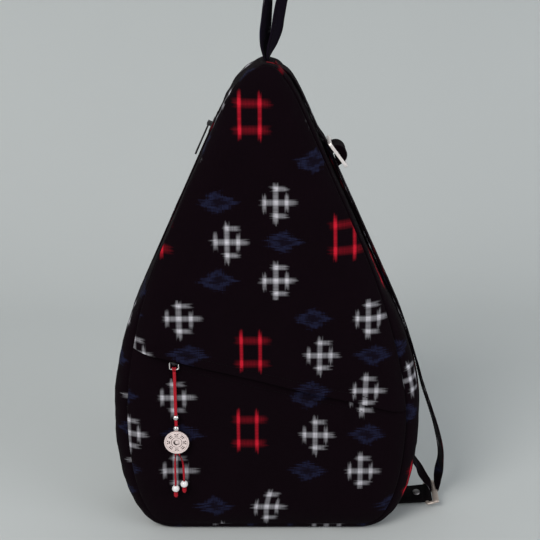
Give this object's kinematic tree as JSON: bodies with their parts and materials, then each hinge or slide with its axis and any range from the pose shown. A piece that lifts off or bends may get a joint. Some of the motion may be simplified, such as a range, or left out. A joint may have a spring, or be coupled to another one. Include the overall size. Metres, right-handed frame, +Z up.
{
  "type": "sling backpack",
  "caption": "Teardrop fabric sling backpack with a slanted zip pocket, zip charm, hanging loop and adjustable side strap",
  "frame": {"origin": "centre of the flat base, on the surface that the bag stands on", "axes": "+Z up along the bag's height, the front with the slanted pocket faces -Y, the strap hangs on the +X side"},
  "size_m": [0.2933, 0.0976, 0.4802],
  "materials": {
    "kasuri_cloth": "woven near-black cotton with white, red and blue kasuri motifs",
    "lining": "plain dark cotton lining",
    "zip_tape": "black woven zip tape with a nylon coil",
    "silver_metal": "nickel plated, slightly worn",
    "black_metal": "black lacquered, slightly worn at the edges",
    "medallion_metal": "embossed medallion with a rosy tint, worn high spots",
    "red_cord": "twisted red cord",
    "white_bead": "glossy white glazed beads",
    "black_webbing": "black woven webbing, folded and riveted"
  },
  "bodies": {
    "shell": {"front_upper_panel": "kasuri_cloth", "pocket_front_panel": "kasuri_cloth", "gusset": "kasuri_cloth", "back_panel": "kasuri_cloth", "pocket_lining": "lining", "pocket_zip_lower_tape": "zip_tape", "pocket_zip_upper_tape": "zip_tape", "pocket_zip_left_stop": "silver_metal", "pocket_zip_right_stop": "silver_metal", "main_zip_front_tape": "zip_tape", "main_zip_back_tape": "zip_tape", "main_zip_top_stop": "black_metal", "main_zip_low_stop": "black_metal", "hanging_loop": "kasuri_cloth", "shoulder_strap": "kasuri_cloth", "lower_tab": "black_webbing", "rivet_cap": "silver_metal", "rivet_back": "silver_metal"},
    "pocket_slider": {"pocket_zip_slider": "black_metal"},
    "pocket_pull": {"pocket_zip_pull": "silver_metal"},
    "charm": {"charm_hitch": "red_cord", "charm_cord": "red_cord", "charm_cord_link": "red_cord", "upper_silver_bead": "silver_metal", "lower_silver_bead": "silver_metal", "medallion": "medallion_metal", "left_tail_cord": "red_cord", "right_tail_cord": "red_cord", "left_tail_bead": "white_bead", "right_tail_bead": "white_bead", "left_knot": "red_cord", "right_knot": "red_cord"},
    "main_slider": {"main_zip_slider": "black_metal"},
    "main_pull": {"main_zip_pull": "black_metal"},
    "buckle": {"strap_slider": "silver_metal", "strap_fold": "kasuri_cloth"},
    "ring": {"lower_ring": "silver_metal"}
  },
  "joints": [
    {"name": "pocket_zip_slide", "type": "slide", "parent": "shell", "child": "pocket_slider", "axis": [0.969, 0, -0.247], "range_m": [0, 0.165]},
    {"name": "pocket_pull_hinge", "type": "hinge", "parent": "pocket_slider", "child": "pocket_pull", "pos_m": [-0.07659, -0.0477, 0.16855], "axis": [-0.969, 0, 0.247], "range_deg": [0, 75]},
    {"name": "charm_swing", "type": "hinge", "parent": "pocket_pull", "child": "charm", "pos_m": [-0.07659, -0.0477, 0.16335], "axis": [-1, 0, 0], "range_deg": [0, 80]},
    {"name": "main_zip_slide", "type": "slide", "parent": "shell", "child": "main_slider", "axis": [-0.4161, 0, -0.9093], "range_m": [0, 0.137]},
    {"name": "main_pull_hinge", "type": "hinge", "parent": "main_slider", "child": "main_pull", "pos_m": [-0.04626, 0, 0.35939], "axis": [0, 1, 0], "range_deg": [0, 120]},
    {"name": "strap_adjust", "type": "slide", "parent": "shell", "child": "buckle", "axis": [0.4161, 0, -0.9093], "range_m": [-0.01, 0.095]},
    {"name": "ring_turn", "type": "hinge", "parent": "shell", "child": "ring", "pos_m": [0.1485, 0.008, 0.008], "axis": [0, 0.9511, 0.309], "range_deg": [-6, 6]}
  ]
}
